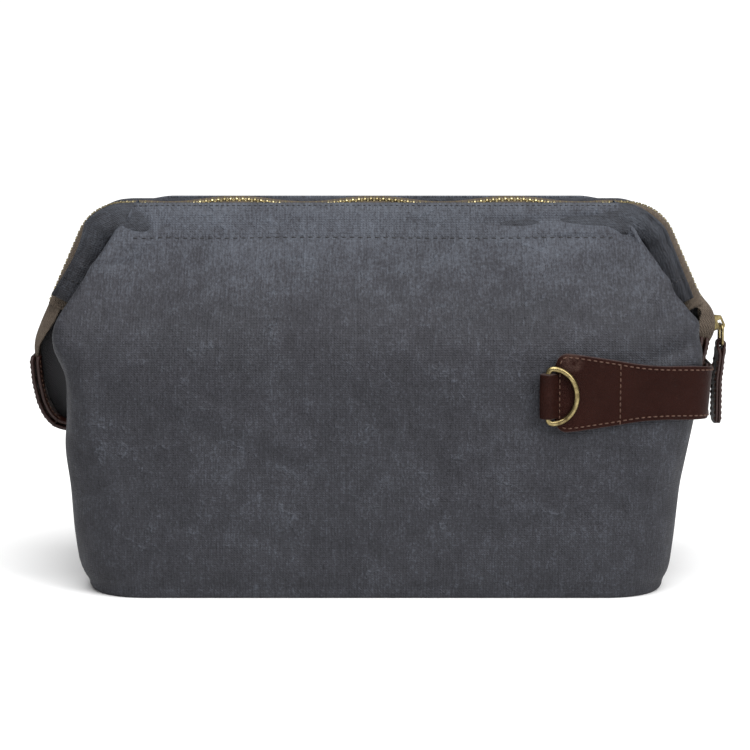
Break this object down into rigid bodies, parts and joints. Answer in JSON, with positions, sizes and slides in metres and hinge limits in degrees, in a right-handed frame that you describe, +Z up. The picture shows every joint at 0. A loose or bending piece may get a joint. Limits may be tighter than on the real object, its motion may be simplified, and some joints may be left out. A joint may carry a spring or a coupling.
{
  "type": "shaving kit bag",
  "caption": "Frame-mouth wash bag: waxed canvas body on a flat base, two sprung wire frames that open along a brass zip, leather carry handle, zip-end tabs and a D-ring.",
  "frame": {"origin": "centre of the underside of the base", "axes": "+X along the bag towards the handle end, -Y to the front with the D-ring, +Z up"},
  "size_m": [0.298, 0.1244, 0.1601],
  "materials": {
    "waxed_canvas": "dry waxed canvas, ribbed weave with paler rubbed patches",
    "lining": "plain cotton twill",
    "binding": "cotton bias tape",
    "board": "stiff fibre board",
    "spring_wire": "drawn spring steel wire",
    "cap_plastic": "soft PVC cap",
    "zip_tape": "brown herringbone zip tape",
    "brass": "antique brass, rubbed bright on the edges",
    "leather": "dark brown pull-up leather with painted edges"
  },
  "bodies": {
    "bag": {"base_panel": "waxed_canvas", "base_board": "board", "front_panel": "waxed_canvas", "back_panel": "waxed_canvas", "front_lining": "lining", "back_lining": "lining", "left_seam_tape": "binding", "right_seam_tape": "binding", "left_tab_outer": "leather", "left_tab_inner": "leather", "right_tab_outer": "leather", "right_tab_inner": "leather", "left_zip_end_tape": "zip_tape", "right_zip_end_tape": "zip_tape", "handle_outer": "leather", "handle_inner": "leather", "d_ring_loop": "leather"},
    "front_mouth": {"front_casing": "waxed_canvas", "front_frame_wire": "spring_wire", "front_wire_caps": "cap_plastic", "front_mouth_panel": "waxed_canvas", "front_zip_tape": "zip_tape", "front_zip_teeth": "brass", "front_zip_teeth_right": "brass"},
    "back_mouth": {"back_casing": "waxed_canvas", "back_frame_wire": "spring_wire", "back_wire_caps": "cap_plastic", "back_mouth_panel": "waxed_canvas", "back_zip_tape": "zip_tape", "back_zip_teeth": "brass", "back_zip_teeth_right": "brass"},
    "zip_slider": {"slider": "brass"},
    "slider_link": {"pull_ring": "brass"},
    "pull": {"zip_pull": "leather"},
    "d_ring": {"d_ring": "brass"}
  },
  "joints": [
    {"name": "front_mouth_hinge", "type": "hinge", "parent": "bag", "child": "front_mouth", "pos_m": [0, 0, 0.1135], "axis": [1, 0, 0], "range_deg": [0, 45]},
    {"name": "back_mouth_hinge", "type": "hinge", "parent": "bag", "child": "back_mouth", "pos_m": [0, 0, 0.1135], "axis": [-1, 0, 0], "range_deg": [0, 45]},
    {"name": "zip_slide", "type": "slide", "parent": "bag", "child": "zip_slider", "axis": [0.4067, 0, -0.9135], "range_m": [-0.036, 0], "deforming": ["front_zip_teeth_right", "back_zip_teeth_right"]},
    {"name": "link_tilt", "type": "hinge", "parent": "zip_slider", "child": "slider_link", "pos_m": [0.14792, 0, 0.10727], "axis": [0, -1, 0], "range_deg": [0, 78]},
    {"name": "pull_swing", "type": "hinge", "parent": "slider_link", "child": "pull", "pos_m": [0.14792, 0, 0.09927], "axis": [0, -1, 0], "range_deg": [0, 95]},
    {"name": "d_ring_hinge", "type": "hinge", "parent": "bag", "child": "d_ring", "pos_m": [0.0698, -0.06115, 0.0854], "axis": [0, 0, -1], "range_deg": [0, 175]}
  ],
  "couplings": [
    {"joint": "link_tilt", "follows": "zip_slide", "rad_per_m": -37.815}
  ]
}
